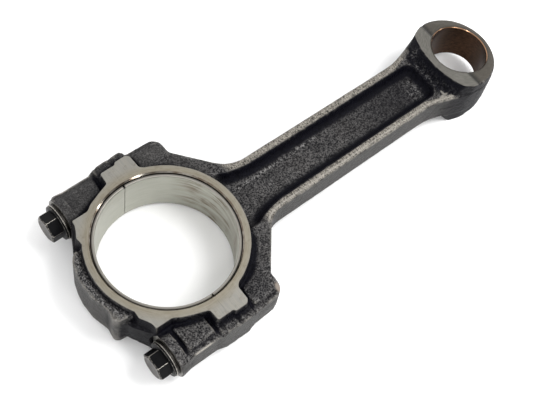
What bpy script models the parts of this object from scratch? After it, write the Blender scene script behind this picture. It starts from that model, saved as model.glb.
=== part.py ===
"""Connecting rod with a split big end, as separate pieces.

The rod lies flat. +X runs from the bolt heads on the cap to the small end, +Z runs along both bores, and the origin is on
the floor under the middle of the whole assembly. Shapes are worked out in millimetres from the crank axis at mid width,
and every piece hangs from the empty crank_axis, which stands on that point.
"""
import math

import bmesh
import bpy
from mathutils import Matrix, Vector

# ---- driving dimensions, in millimetres
CENTRES = 181.3          # crank axis to wrist-pin axis
WIDTH = 27.8             # over the thrust faces, both ends
HALF = WIDTH / 2
PLATE = 7.35             # half thickness of the forging's plate and of the beam flanges
GAP = 0.15               # half of the running gap kept at the parting line
FIT = 0.3                # gap kept between pieces that seat on each other

HOUSING_R = 33.3         # big-end housing bore
HOUSING_CHAMFER = 0.5
SHELL_OUT_R = HOUSING_R - FIT
SHELL_IN_R = 31.5        # crankpin bearing bore
SHELL_HALF = 12.9        # shell half width, just below the thrust faces
THRUST_R = 36.8          # rim of the machined thrust face

BOLT_Y = 40.0            # bolt axes either side of the crank axis
SEAT_X = -28.5           # spot face under the washers
SHOULDER_X = 28.8        # where the bolt holes leave the rod's shoulders
HOLE_R = 5.35
SHANK_R = 5.0
THREAD_TIP_X = 24.0
BOSS_R = 9.5
WASHER_R = 8.9
WASHER_T = 1.35
FLANGE_R = 8.6
FLANGE_T = 1.5
HEX_AF = 12.1
HEX_H = 4.7

DOWEL_Y = 39.2           # solid dowel pins beside the bolts, across the parting line
DOWEL_Z = 9.4
DOWEL_R = 2.0
DOWEL_L = 9.0

EYE_X = 176.9            # the eye's outer curve is struck nearer the beam than its bore
EYE_R = 21.4
TIP_X = EYE_X + EYE_R
EYE_BORE_R = 15.6
BUSH_OUT_R = EYE_BORE_R - FIT
BUSH_IN_R = 14.4
TAPER_X = 173.6          # where the small end's tapered flanks start
TAPER_TAN = 0.16

POCKET_FLOOR = 2.35      # half thickness of the beam's web
POCKET_END_X = 158.0
RIB_X = -41.5            # back of the rib over the cap
RIB_HALF = 11.4
PAD_HALF = 10.2

CRANK_X = -(RIB_X + TIP_X) / 2   # crank axis in the part's own frame
MM = 0.001

for old in list(bpy.data.objects):
    bpy.data.objects.remove(old, do_unlink=True)

parts = bpy.data.collections.new("connecting_rod")
cutters = bpy.data.collections.new("cutters")
bpy.context.scene.collection.children.link(parts)
bpy.context.scene.collection.children.link(cutters)

crank_axis = bpy.data.objects.new("crank_axis", None)
crank_axis.location = (CRANK_X * MM, 0, HALF * MM)
parts.objects.link(crank_axis)
cap_axis = bpy.data.objects.new("cap_axis", None)
cap_axis.parent = crank_axis
parts.objects.link(cap_axis)


def material(name, color, rough, metal):
    m = bpy.data.materials.new(name)
    m.use_nodes = True
    b = m.node_tree.nodes["Principled BSDF"]
    b.inputs["Base Color"].default_value = (*color, 1)
    b.inputs["Roughness"].default_value = rough
    b.inputs["Metallic"].default_value = metal
    return m


FORGED = material("forged_steel", (0.045, 0.043, 0.042), 0.55, 0.85)
CAP_FORGED = material("cap_forged_steel", (0.05, 0.048, 0.046), 0.55, 0.85)
BEARING = material("bearing_overlay", (0.52, 0.53, 0.48), 0.38, 0.9)
BUSHING = material("bronze", (0.35, 0.17, 0.09), 0.35, 0.9)
BLACK_STEEL = material("black_bolt_steel", (0.02, 0.02, 0.021), 0.4, 0.8)
WASHER_STEEL = material("washer_steel", (0.09, 0.085, 0.08), 0.4, 0.9)
PIN_STEEL = material("pin_steel", (0.4, 0.4, 0.41), 0.3, 1.0)


def rounded(corners, step=14.0):
    """Points of a path through corners (x, y, radius), each corner turned by an arc of its radius."""
    out = []
    for i, (x, y, r) in enumerate(corners):
        if r <= 0 or i in (0, len(corners) - 1):
            out.append((x, y))
            continue
        p = Vector((x, y))
        a = Vector(corners[i - 1][:2]) - p
        b = Vector(corners[i + 1][:2]) - p
        turn = math.pi - a.angle(b)
        if turn < 1e-3:
            out.append((x, y))
            continue
        reach = min(r * math.tan(turn / 2), 0.49 * a.length, 0.49 * b.length)
        r = reach / math.tan(turn / 2)
        a.normalize()
        b.normalize()
        centre = p + (a + b).normalized() * (r / math.cos(turn / 2))
        n = max(1, math.ceil(math.degrees(turn) / step))
        start, end = p + a * reach - centre, p + b * reach - centre
        sense = 1 if start.x * end.y - start.y * end.x > 0 else -1
        for k in range(n + 1):
            t = sense * turn * k / n
            c, s = math.cos(t), math.sin(t)
            out.append((centre.x + start.x * c - start.y * s, centre.y + start.x * s + start.y * c))
    return out


def arc(cx, cy, r, a0, a1, n):
    return [(cx + r * math.cos(math.radians(a0 + (a1 - a0) * k / n)),
             cy + r * math.sin(math.radians(a0 + (a1 - a0) * k / n))) for k in range(n + 1)]


def mirrored(half):
    """A closed outline from its +Y half, which starts and ends where the outline leaves or meets the X axis or the parting line."""
    other = [(x, -y) for x, y in reversed(half) if abs(y) > 1e-6]
    return list(half) + other


def finish(name, bm, where, mat=None, smooth=False, parent=None, location=(0, 0, 0)):
    bmesh.ops.remove_doubles(bm, verts=bm.verts, dist=1e-7)
    bmesh.ops.recalc_face_normals(bm, faces=bm.faces)
    me = bpy.data.meshes.new(name)
    bm.to_mesh(me)
    bm.free()
    ob = bpy.data.objects.new(name, me)
    where.objects.link(ob)
    ob.parent = parent or crank_axis
    ob.location = [c * MM for c in location]
    if mat:
        me.materials.append(mat)
    if smooth:
        me.shade_smooth()
        me.set_sharp_from_angle(angle=math.radians(30))
    if where is cutters:
        ob.hide_render = True
        ob.display_type = "WIRE"
    return ob


def slab(name, outline, z0, z1, where, mat=None, parent=None):
    """A flat outline, filled and extruded from z0 to z1."""
    cu = bpy.data.curves.new(name + "_outline", "CURVE")
    cu.dimensions = "2D"
    cu.fill_mode = "BOTH"
    cu.extrude = (z1 - z0) / 2 * MM
    sp = cu.splines.new("POLY")
    sp.points.add(len(outline) - 1)
    for p, (x, y) in zip(sp.points, outline):
        p.co = (x * MM, y * MM, 0, 1)
    sp.use_cyclic_u = True
    tmp = bpy.data.objects.new(name + "_curve", cu)
    cutters.objects.link(tmp)
    bpy.context.view_layer.update()
    me = bpy.data.meshes.new_from_object(tmp.evaluated_get(bpy.context.evaluated_depsgraph_get()))
    bm = bmesh.new()
    bm.from_mesh(me)
    bpy.data.objects.remove(tmp, do_unlink=True)
    bpy.data.curves.remove(cu)
    bmesh.ops.translate(bm, verts=bm.verts, vec=(0, 0, (z0 + z1) / 2 * MM))
    return finish(name, bm, where, mat, parent=parent)


def loft(name, rings, where, mat=None, parent=None):
    """A closed solid through rings of points, each ring with the same count, with both ends filled."""
    bm = bmesh.new()
    rows = [[bm.verts.new([c * MM for c in p]) for p in ring] for ring in rings]
    n = len(rows[0])
    for a, b in zip(rows, rows[1:]):
        for k in range(n):
            bm.faces.new((a[k], a[(k + 1) % n], b[(k + 1) % n], b[k]))
    bm.faces.new(list(reversed(rows[0])))
    bm.faces.new(rows[-1])
    return finish(name, bm, where, mat, parent=parent)


def drum(name, axis, r, lo, hi, seg, where, mat=None, centre=(0, 0, 0), r2=None, turn=0.0, smooth=False, parent=None):
    """A cylinder or cone along an axis, from lo to hi on it, with centre the axis's point."""
    bm = bmesh.new()
    bmesh.ops.create_cone(bm, cap_ends=True, cap_tris=False, segments=seg, radius1=r * MM,
                          radius2=(r if r2 is None else r2) * MM, depth=(hi - lo) * MM)
    spin = Matrix.Rotation(math.radians(turn), 4, "Z")
    to = {"X": Matrix.Rotation(math.radians(90), 4, "Y"), "Z": Matrix.Identity(4)}[axis]
    mid = Vector(((lo + hi) / 2, 0, 0)) if axis == "X" else Vector((0, 0, (lo + hi) / 2))
    bmesh.ops.transform(bm, verts=bm.verts,
                        matrix=Matrix.Translation((Vector(centre) + mid) * MM) @ to @ spin)
    return finish(name, bm, where, mat, smooth=smooth, parent=parent)


def block(name, lo, hi, where, bevel=0.0, parent=None):
    bm = bmesh.new()
    bmesh.ops.create_cube(bm, size=1.0)
    size = [(b - a) * MM for a, b in zip(lo, hi)]
    mid = [(b + a) / 2 * MM for a, b in zip(lo, hi)]
    bmesh.ops.transform(bm, verts=bm.verts, matrix=Matrix.Translation(mid) @ Matrix.Diagonal((*size, 1)))
    ob = finish(name, bm, where, parent=parent)
    if bevel:
        m = ob.modifiers.new("edges", "BEVEL")
        m.width = bevel * MM
        m.segments = 2
        m.limit_method = "ANGLE"
    return ob


def boolean(ob, other, how):
    m = ob.modifiers.new(how.lower() + "_" + other.name, "BOOLEAN")
    m.operation = how
    m.object = other
    m.solver = "EXACT"


def turned(name, profile, seg, mat, location, parent=None, turn=0.0):
    """A turned piece about the X axis: profile of (x, radius) from tip to head, revolved by a Screw modifier."""
    bm = bmesh.new()
    vs = [bm.verts.new((x * MM, 0, r * MM)) for x, r in profile]
    for a, b in zip(vs, vs[1:]):
        bm.edges.new((a, b))
    me = bpy.data.meshes.new(name)
    bm.to_mesh(me)
    bm.free()
    ob = bpy.data.objects.new(name, me)
    parts.objects.link(ob)
    ob.parent = parent or crank_axis
    ob.location = [c * MM for c in location]
    ob.rotation_euler = (math.radians(turn), 0, 0)
    me.materials.append(mat)
    m = ob.modifiers.new("turn", "SCREW")
    m.axis = "X"
    m.steps = m.render_steps = seg
    m.use_merge_vertices = True
    m.merge_threshold = 1e-5
    m.use_smooth_shade = True
    return ob


# ---------------------------------------------------------------- rod body
# plan of the forging's plate: shoulders, beam and eye
rod_half = rounded([
    (GAP, 49.5, 0), (9.6, 49.8, 1.2), (12.6, 47.9, 1.6), (SHOULDER_X, 48.1, 5.5), (SHOULDER_X, 38.9, 2.5),
    (47.8, 15.25, 13.5), (150.5, 14.65, 30.0), (170.5, 21.0, 12.0), (EYE_X, EYE_R, 0)])
rod_half += arc(EYE_X, 0, EYE_R, 90, 0, 11)[1:]
rod_body = slab("rod_body", mirrored(rod_half), -PLATE, PLATE, parts, FORGED)

# machined thrust face with the tabs at the parting line
thrust_half = rounded([
    (GAP, 43.2, 0), (2.6, 43.2, 0.6), (3.4, 44.5, 0.6), (9.3, 44.5, 1.2), (10.8, 43.0, 0.8), (10.9, 36.2, 2.2),
    (12.7, 34.54, 0)]) + arc(0, 0, THRUST_R, 69.8, 0, 14)[1:]
boolean(rod_body, slab("rod_thrust", mirrored(thrust_half), -HALF, HALF, cutters), "UNION")

# small-end eye at full width: a raised flat that starts on an arc across the beam
eye_half = arc(207.8, 0, 45.0, 180, 155.6, 6) + rounded([
    (166.8, 18.6, 0), (171.0, 20.8, 4.0), (EYE_X, EYE_R, 0)])[1:] + arc(EYE_X, 0, EYE_R, 90, 0, 11)[1:]
eye = slab("rod_eye", mirrored([p for p in eye_half]), -HALF, HALF, cutters)
boolean(rod_body, eye, "UNION")
# forged slope from the beam up to the eye's flat
slope = loft("rod_eye_slope", [
    [(x - grow, y, z) for x, y in [(165.0, -17.6), (165.0, 17.6), (163.6, 12), (162.7, 6), (162.4, 0), (162.7, -6), (163.6, -12)]]
    for z, grow in [(-HALF + 0.4, -1.4), (-PLATE + 0.4, 1.6), (PLATE - 0.4, 1.6), (HALF - 0.4, -1.4)]], cutters)
boolean(rod_body, slope, "UNION")

for side, y in (("a", BOLT_Y), ("b", -BOLT_Y)):
    s = 1 if y > 0 else -1
    boolean(rod_body, drum("rod_boss_" + side, "X", BOSS_R, 0.8, 26.0, 32, cutters, centre=(0, y, 0), r2=8.4), "UNION")
    ys = sorted((s * 34.0, s * 49.4))
    boolean(rod_body, block("rod_pad_" + side, (GAP, ys[0], -PAD_HALF), (10.4, ys[1], PAD_HALF), cutters), "UNION")

# tapered flanks of the small end
for side, s in (("top", 1), ("bottom", -1)):
    far = 215.0
    ring = [(TAPER_X, s * HALF), (far, s * (HALF - (far - TAPER_X) * TAPER_TAN)), (far, s * 20.0), (TAPER_X, s * 20.0)]
    boolean(rod_body, loft("taper_" + side, [[(x, y, z) for x, z in ring] for y in (-30.0, 30.0)], cutters), "DIFFERENCE")

# lightening pocket in each side of the beam, with drafted walls
def pocket_ring(edge, start, end, r, open_to):
    """Outline of the pocket at one depth: edge is its half width along the beam, flaring towards the thrust ring."""
    half = rounded([(start, 0, 0), (start + 0.6, edge + open_to, 1.5), (start + 9, edge + open_to * 0.35, 9.0),
                    (start + 20, edge, 12.0), (end, edge - 0.45, r), (end, 0, 0)], step=18)
    return mirrored(half)


for side, s in (("top", 1), ("bottom", -1)):
    rings = [[(x, y, s * z) for x, y in pocket_ring(e, st, en, r, op)]
             for z, e, st, en, r, op in [(POCKET_FLOOR, 7.2, 36.6, POCKET_END_X - 3.4, 3.5, 3.0),
                                         (POCKET_FLOOR + 1.2, 8.6, 36.6, POCKET_END_X - 1.9, 4.6, 3.0),
                                         (PLATE, 10.7, 36.6, POCKET_END_X, 6.0, 3.0),
                                         (PLATE + 3, 10.7, 36.6, POCKET_END_X, 6.0, 3.0)]]
    boolean(rod_body, loft("pocket_" + side, rings, cutters), "DIFFERENCE")

# big-end housing bore, with the chamfer at both faces
def housing(name):
    return loft(name, [[(r * math.cos(a), r * math.sin(a), z) for a in [math.tau * k / 72 for k in range(72)]]
                       for z, r in [(-HALF - 1, HOUSING_R + HOUSING_CHAMFER + 1), (-HALF + HOUSING_CHAMFER, HOUSING_R),
                                    (HALF - HOUSING_CHAMFER, HOUSING_R), (HALF + 1, HOUSING_R + HOUSING_CHAMFER + 1)]], cutters)


rod_housing = housing("rod_housing")
boolean(rod_body, rod_housing, "DIFFERENCE")
for side, y in (("a", BOLT_Y), ("b", -BOLT_Y)):
    boolean(rod_body, drum("rod_hole_" + side, "X", HOLE_R, -2, 40, 24, cutters, centre=(0, y, 0)), "DIFFERENCE")
    s = 1 if y > 0 else -1
    dowel = drum("rod_dowel_hole_" + side, "X", DOWEL_R + FIT, -2, DOWEL_L / 2 + FIT, 16, cutters,
                 centre=(0, s * DOWEL_Y, s * DOWEL_Z))
    boolean(rod_body, dowel, "DIFFERENCE")
# notch for the upper shell's locating tang
boolean(rod_body, block("rod_tang_notch", (-1.0, 32.0, -10.8), (5.0, 34.9, -5.2), cutters), "DIFFERENCE")
boolean(rod_body, drum("eye_bore", "Z", EYE_BORE_R, -20, 20, 56, cutters, centre=(CENTRES, 0, 0), turn=2.3), "DIFFERENCE")

# ---------------------------------------------------------------- cap
cap_half = rounded([
    (-GAP, 49.5, 0), (-5.0, 49.2, 1.0), (-8.0, 48.0, 1.2), (-22.0, 47.9, 6.0), (SEAT_X + 0.4, 48.6, 0.6), (SEAT_X + 0.4, 31.0, 0.5),
    (-30.4, 27.0, 2.0), (-32.6, 22.9, 3.0), (-36.2, 18.2, 3.0), (-38.9, 16.9, 2.0), (-41.0, 13.2, 4.0), (RIB_X, 8.0, 8.0),
    (RIB_X, 0, 0)])
rod_cap = slab("rod_cap", mirrored(cap_half), -PLATE, PLATE, parts, CAP_FORGED, parent=cap_axis)
cap_thrust_half = rounded([
    (-GAP, 43.2, 0), (-5.2, 43.2, 0.8), (-5.4, 37.4, 1.4), (-12.0, 35.1, 4.0), (-17.2, 33.0, 4.0), (-20.4, 30.9, 2.5),
    (-28.4, 30.8, 0.2), (-28.9, 28.0, 1.5), (-30.2, 25.4, 2.0), (-31.7, 22.9, 0.8), (-31.3, 19.35, 0)])
cap_thrust_half += arc(0, 0, THRUST_R, 148.3, 180, 7)[1:]
boolean(rod_cap, slab("cap_thrust", mirrored(cap_thrust_half), -HALF, HALF, cutters), "UNION")
rib_half = rounded([(-33.5, 0, 0), (-31.5, 18.5, 1.5), (-36.0, 18.0, 2.5), (-38.8, 16.6, 2.0), (-40.8, 13.0, 4.0),
                    (RIB_X + 0.1, 8.0, 8.0), (RIB_X + 0.1, 0, 0)])
boolean(rod_cap, slab("cap_rib", mirrored(rib_half), -RIB_HALF, RIB_HALF, cutters), "UNION")
for side, y in (("a", BOLT_Y), ("b", -BOLT_Y)):
    s = 1 if y > 0 else -1
    boolean(rod_cap, drum("cap_boss_" + side, "X", BOSS_R, SEAT_X, -0.8, 32, cutters, centre=(0, y, 0)), "UNION")
    ys = sorted((s * 34.0, s * 48.7))
    boolean(rod_cap, block("cap_pad_" + side, (-6.2, ys[0], -PAD_HALF), (-GAP, ys[1], PAD_HALF), cutters), "UNION")
boolean(rod_cap, housing("cap_housing"), "DIFFERENCE")
for side, y in (("a", BOLT_Y), ("b", -BOLT_Y)):
    s = 1 if y > 0 else -1
    boolean(rod_cap, drum("cap_hole_" + side, "X", HOLE_R, -45, 2, 24, cutters, centre=(0, y, 0)), "DIFFERENCE")
    dowel = drum("cap_dowel_hole_" + side, "X", DOWEL_R + FIT, -DOWEL_L / 2 - FIT, 2, 16, cutters,
                 centre=(0, s * DOWEL_Y, s * DOWEL_Z))
    boolean(rod_cap, dowel, "DIFFERENCE")
boolean(rod_cap, block("cap_tang_notch", (-5.0, 32.0, 5.2), (1.0, 34.9, 10.8), cutters), "DIFFERENCE")

# ---------------------------------------------------------------- bearing shells
def shell(name, a0, a1, tang, mat, parent):
    """Half of a plain bearing: an arc strip of the shell's wall with small chamfers inside, and a locating tang."""
    n = 30
    half_t = math.degrees(FIT / SHELL_IN_R) / 2
    angles = [math.radians(a0 + half_t + (a1 - a0 - 2 * half_t) * k / n) for k in range(n + 1)]
    section = [(SHELL_IN_R, -SHELL_HALF + 0.5), (SHELL_IN_R, SHELL_HALF - 0.5), (SHELL_IN_R + 0.5, SHELL_HALF),
               (SHELL_OUT_R, SHELL_HALF), (SHELL_OUT_R, -SHELL_HALF), (SHELL_IN_R + 0.5, -SHELL_HALF)]
    ob = loft(name, [[(r * math.cos(a), r * math.sin(a), z) for r, z in section] for a in angles], parts, mat, parent)
    boolean(ob, block(name + "_tang", *tang, cutters, parent=parent), "UNION")
    return ob


upper_bearing_shell = shell("upper_bearing_shell", -90, 90,
                            ((0.25, 32.2, -10.2), (4.4, 34.3, -5.8)), BEARING, crank_axis)
lower_bearing_shell = shell("lower_bearing_shell", 90, 270,
                            ((-4.4, 32.2, 5.8), (-0.25, 34.3, 10.2)), BEARING, cap_axis)

# ---------------------------------------------------------------- small-end bush
small_end_bush = drum("small_end_bush", "Z", BUSH_OUT_R, -HALF + 0.15, HALF - 0.15, 56, parts, BUSHING,
                      centre=(CENTRES, 0, 0))
boolean(small_end_bush, drum("bush_bore", "Z", BUSH_IN_R, -20, 20, 56, cutters, centre=(CENTRES, 0, 0)), "DIFFERENCE")
for side, s in (("top", 1), ("bottom", -1)):
    far, low = 215.0, 0.2
    ring = [(TAPER_X - 1, s * (HALF + TAPER_TAN - low)), (far, s * (HALF - low - (far - TAPER_X) * TAPER_TAN)), (far, s * 20.0),
            (TAPER_X - 1, s * 20.0)]
    boolean(small_end_bush, loft("bush_taper_" + side, [[(x, y, z) for x, z in ring] for y in (-30.0, 30.0)], cutters),
            "DIFFERENCE")

# ---------------------------------------------------------------- bolts, washers, dowel pins
washer_x = SEAT_X - FIT
flange_x = washer_x - WASHER_T - FIT
for n, y, turn in ((1, BOLT_Y, 37.0), (2, -BOLT_Y, 2.6)):
    s = 1 if y > 0 else -1
    # washer: a flat ring with eased rims, its origin on the bolt axis at its seat
    w = turned("bolt_washer_%d" % n, [(-0.0, 5.6), (-0.0, WASHER_R - 0.35), (-0.35, WASHER_R), (-WASHER_T + 0.35, WASHER_R),
                                      (-WASHER_T, WASHER_R - 0.35), (-WASHER_T, 5.6), (0.0, 5.6)], 32, WASHER_STEEL,
               (washer_x, y, 0), cap_axis)
    # bolt: turned body, then the hexagon joined on, its origin on its axis under the flange
    tip = THREAD_TIP_X - flange_x
    b = turned("cap_bolt_%d" % n, [(tip, 0.0), (tip, SHANK_R - 1.0), (tip - 1.2, SHANK_R), (0.6, SHANK_R),
                                   (0.0, SHANK_R + 0.3), (0.0, FLANGE_R - 0.3), (-0.3, FLANGE_R), (-0.9, FLANGE_R),
                                   (-FLANGE_T - 0.3, FLANGE_R - 1.3), (-FLANGE_T - 0.3, 0.0)], 32, BLACK_STEEL,
               (flange_x, y, 0), cap_axis, turn)
    m = bmesh.new()
    bmesh.ops.create_cone(m, cap_ends=True, segments=6, radius1=HEX_AF / math.sqrt(3) * MM,
                          radius2=HEX_AF / math.sqrt(3) * MM, depth=HEX_H * MM)
    bmesh.ops.transform(m, verts=m.verts, matrix=Matrix.Translation((-(FLANGE_T + HEX_H / 2) * MM, 0, 0))
                        @ Matrix.Rotation(math.radians(90), 4, "Y"))
    hexagon = finish("bolt_hex_%d" % n, m, cutters, parent=b)
    crown = turned("bolt_crown_%d" % n, [(0.5, 0.0), (0.5, 12.0), (-FLANGE_T - HEX_H + 0.8, 7.2),
                                         (-FLANGE_T - HEX_H, 5.7), (-FLANGE_T - HEX_H, 0.0)], 32, BLACK_STEEL,
                   (0, 0, 0), b)
    parts.objects.unlink(crown)
    cutters.objects.link(crown)
    crown.hide_render = True
    crown.display_type = "WIRE"
    boolean(hexagon, crown, "INTERSECT")
    boolean(b, hexagon, "UNION")
    # solid dowel pin across the parting line, held in the rod
    drum("cap_dowel_pin_%d" % n, "X", DOWEL_R, -DOWEL_L / 2, DOWEL_L / 2, 16, parts, PIN_STEEL,
         centre=(0, s * DOWEL_Y, s * DOWEL_Z), smooth=True)

for ob in (rod_body, rod_cap, upper_bearing_shell, lower_bearing_shell, small_end_bush):
    ob.data.shade_smooth()
    ob.data.set_sharp_from_angle(angle=math.radians(30))
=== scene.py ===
"""Looks of the connecting rod: forged and machined surfaces, bearing shells, bush, bolts, washers and dowel pins.

Everything is worked out in millimetres from the crank axis at mid width, in the same frame as the CAD solids: +X to the
small end, +Z along the bores. The forging is made the way the real one is: a blank with drafted, filleted walls, given as
a signed distance field and meshed, and then machined with exact cutters, which leave flat faces with sharp edges.
"""
import math

import bmesh
import bpy
import numpy as np
import openvdb as vdb
from mathutils import Matrix, Vector


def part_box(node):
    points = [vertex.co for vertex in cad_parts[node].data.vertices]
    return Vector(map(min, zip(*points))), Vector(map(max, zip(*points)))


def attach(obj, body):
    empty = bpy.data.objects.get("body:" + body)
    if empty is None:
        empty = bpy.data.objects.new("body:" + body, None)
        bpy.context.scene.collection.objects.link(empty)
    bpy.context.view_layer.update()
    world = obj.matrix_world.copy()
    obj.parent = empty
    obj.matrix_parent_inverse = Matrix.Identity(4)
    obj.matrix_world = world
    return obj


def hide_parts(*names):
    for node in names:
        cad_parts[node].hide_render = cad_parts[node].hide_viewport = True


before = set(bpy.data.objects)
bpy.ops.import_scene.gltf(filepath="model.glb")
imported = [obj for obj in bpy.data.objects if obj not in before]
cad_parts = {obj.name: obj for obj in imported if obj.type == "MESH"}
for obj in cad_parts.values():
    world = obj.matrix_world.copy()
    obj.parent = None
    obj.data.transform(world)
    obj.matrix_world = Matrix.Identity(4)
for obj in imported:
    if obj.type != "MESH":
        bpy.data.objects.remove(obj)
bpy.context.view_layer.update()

# ------------------------------------------------------------------ sizes, in millimetres
CENTRES = 181.3
HALF = 13.9              # half width over the machined faces
PLATE = 7.35             # half thickness of the forging's plate
HOUSING_R = 33.3
SHELL_OUT_R, SHELL_IN_R, SHELL_HALF = 33.05, 31.5, 12.9
THRUST_R = 36.8
BOLT_Y, SEAT_X, SHANK_R, HOLE_R = 40.0, -28.5, 5.0, 5.35
WASHER_R, WASHER_T = 8.9, 1.35
FLANGE_R, FLANGE_T = 8.6, 1.0
HEX_AF, HEX_H = 12.1, 5.7
THREAD_TIP_X, PITCH = 24.0, 1.5
DOWEL_Y, DOWEL_Z, DOWEL_R, DOWEL_L = 39.2, 9.4, 2.0, 9.0
EYE_X, EYE_R = 176.9, 21.7
BUSH_OUT_R, BUSH_IN_R = 15.3, 14.4
EYE_BORE_R = 15.33
TAPER_X, TAPER_TAN = 173.4, 0.142
POCKET_FLOOR, POCKET_END = 2.35, 158.0
RIB_X, RIB_HALF = -41.5, 11.4
SPLIT = 0.02             # half of the fine line kept at the parting plane

MM = 0.001
lo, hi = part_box("small_end_bush")
CRANK = Vector(((lo.x + hi.x) / 2 - CENTRES * MM, 0.0, (lo.z + hi.z) / 2))
STEP = 0.4


# ------------------------------------------------------------------ outlines
def rounded(corners, step=9.0):
    """Points of a path through corners (x, y, radius), each corner turned by an arc of its radius."""
    out = []
    for i, (x, y, r) in enumerate(corners):
        if r <= 0 or i in (0, len(corners) - 1):
            out.append((x, y))
            continue
        p = Vector((x, y))
        a = Vector(corners[i - 1][:2]) - p
        b = Vector(corners[i + 1][:2]) - p
        turn = math.pi - a.angle(b)
        if turn < 1e-3:
            out.append((x, y))
            continue
        reach = min(r * math.tan(turn / 2), 0.49 * a.length, 0.49 * b.length)
        r = reach / math.tan(turn / 2)
        a.normalize()
        b.normalize()
        centre = p + (a + b).normalized() * (r / math.cos(turn / 2))
        n = max(1, math.ceil(math.degrees(turn) / step))
        start, end = p + a * reach - centre, p + b * reach - centre
        sense = 1 if start.x * end.y - start.y * end.x > 0 else -1
        for k in range(n + 1):
            t = sense * turn * k / n
            c, s = math.cos(t), math.sin(t)
            out.append((centre.x + start.x * c - start.y * s, centre.y + start.x * s + start.y * c))
    return out


def arc(cx, cy, r, a0, a1, n):
    return [(cx + r * math.cos(math.radians(a0 + (a1 - a0) * k / n)),
             cy + r * math.sin(math.radians(a0 + (a1 - a0) * k / n))) for k in range(n + 1)]


def both_sides(half):
    return list(half) + [(x, -y) for x, y in reversed(half) if abs(y) > 1e-6]


# plan of the forging at its parting plane: cap back, bosses, shoulders, beam and eye. The dies were worn unevenly, so the
# two sides differ a little
EYE_ARC = arc(EYE_X, 0, EYE_R, 90, 0, 40)[1:]
PLAN = {1: both_sides(rounded([
    (RIB_X, 0, 0), (RIB_X, 5.0, 9.0), (-40.6, 10.0, 5.0), (-38.8, 15.6, 3.0), (-36.2, 19.0, 5.0), (-32.4, 24.8, 5.0),
    (-30.2, 28.6, 3.0), (-28.1, 30.8, 1.2), (-28.1, 49.2, 1.5), (-22.0, 48.5, 7.0), (-8.2, 48.5, 2.5), (-5.2, 49.9, 2.5),
    (3.0, 49.9, 6.0), (9.6, 50.0, 1.8), (12.6, 47.9, 1.8), (28.5, 47.7, 5.8), (28.5, 38.7, 3.0), (47.8, 15.25, 17.5),
    (150.5, 14.65, 30.0), (171.0, 20.7, 14.0), (EYE_X, EYE_R, 0)]) + EYE_ARC),
    -1: both_sides(rounded([
    (RIB_X, 0, 0), (-41.5, 3.0, 9.0), (-39.4, 11.2, 2.0), (-40.3, 16.8, 1.9), (-38.2, 19.0, 1.6), (-35.8, 19.6, 2.0),
    (-34.4, 22.9, 6.0), (-31.2, 27.6, 4.0), (-28.3, 30.9, 1.2), (-28.3, 49.5, 1.5), (-22.0, 48.5, 7.0), (-8.2, 48.5, 2.5), (-5.2, 49.3, 2.5),
    (3.0, 49.5, 6.0), (9.6, 49.5, 1.8), (13.5, 48.7, 3.0), (24.6, 48.1, 3.0), (28.3, 45.4, 3.5), (28.3, 38.7, 3.0), (47.8, 15.25, 14.0),
    (150.5, 14.75, 30.0), (170.3, 21.2, 14.0), (EYE_X, EYE_R, 0)]) + EYE_ARC)}

# machined thrust face: a ring with tabs at the parting plane and squared ears at the bolt seats
THRUST = both_sides(arc(0, 0, THRUST_R, 180, 148.3, 14) + rounded([
    (-31.3, 19.35, 0), (-31.7, 22.9, 0.8), (-30.2, 25.4, 2.0), (-28.9, 28.0, 1.5), (-28.4, 30.8, 0.3), (-20.4, 30.9, 2.5),
    (-17.2, 33.0, 4.0), (-12.0, 35.1, 6.0), (-5.4, 37.4, 1.6), (-5.2, 43.2, 0.9), (2.6, 43.2, 0.8), (3.6, 44.4, 0.9),
    (9.3, 44.5, 1.5), (10.8, 43.0, 1.0), (10.9, 36.2, 2.4), (12.7, 34.54, 0)])[1:] + arc(0, 0, THRUST_R, 69.8, 0, 30)[1:])

# lightening pocket at the level of the flanges, opening towards the thrust ring
POCKET = both_sides(rounded([
    (33.0, 0, 0), (33.0, 15.6, 0.5), (40.6, 15.0, 3.0), (45.0, 13.1, 5.0), (50.0, 11.8, 6.0), (56.0, 10.95, 8.0),
    (POCKET_END, 10.35, 6.2), (POCKET_END, 0, 0)]))

# raised pads on the boss beside each bolt, for +Y: plateau, parting pads and the rod's shoulder
PLATEAU = rounded([(-21.7, 40, 0), (-21.7, 31.9, 0.6), (-8.2, 37.0, 0.6), (-8.0, 45.1, 0.6), (-21.7, 45.3, 0.6), (-21.7, 40, 0)])[:-1]
PLATEAU_PLAIN = rounded([(-25.2, 40, 0), (-25.2, 31.9, 0.6), (-8.2, 37.0, 1.6), (-8.0, 45.1, 1.6), (-25.2, 45.8, 0.6), (-25.2, 40, 0)])[:-1]
PAD_BASE = rounded([(-6.0, 40, 0), (-6.0, 34, 0.5), (11.0, 34, 0.5), (11.0, 48.7, 2.0), (9.4, 49.7, 1.2), (3.0, 49.5, 4.0),
                    (-5.0, 49.0, 2.0), (-6.0, 47.6, 1.0), (-6.0, 40, 0)])[:-1]
PAD_A = rounded([(-3.7, 46, 0), (-3.7, 43.2, 0.6), (2.7, 43.2, 0.6), (2.7, 49.5, 0.6), (-3.9, 49.2, 0.8), (-3.7, 46, 0)])[:-1]
PAD_B = rounded([(4.6, 47, 0), (4.6, 44.9, 0.8), (9.3, 44.9, 0.8), (9.9, 49.7, 1.0), (4.4, 49.6, 0.8), (4.6, 47, 0)])[:-1]
SHOULDER = rounded([(13.3, 40, 0), (13.3, 33.5, 1.0), (24.0, 30.0, 3.0), (28.2, 36.5, 3.0), (28.0, 44.5, 3.0), (24.6, 45.4, 2.0),
                    (13.5, 45.4, 0.8), (13.3, 40, 0)])[:-1]


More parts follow.
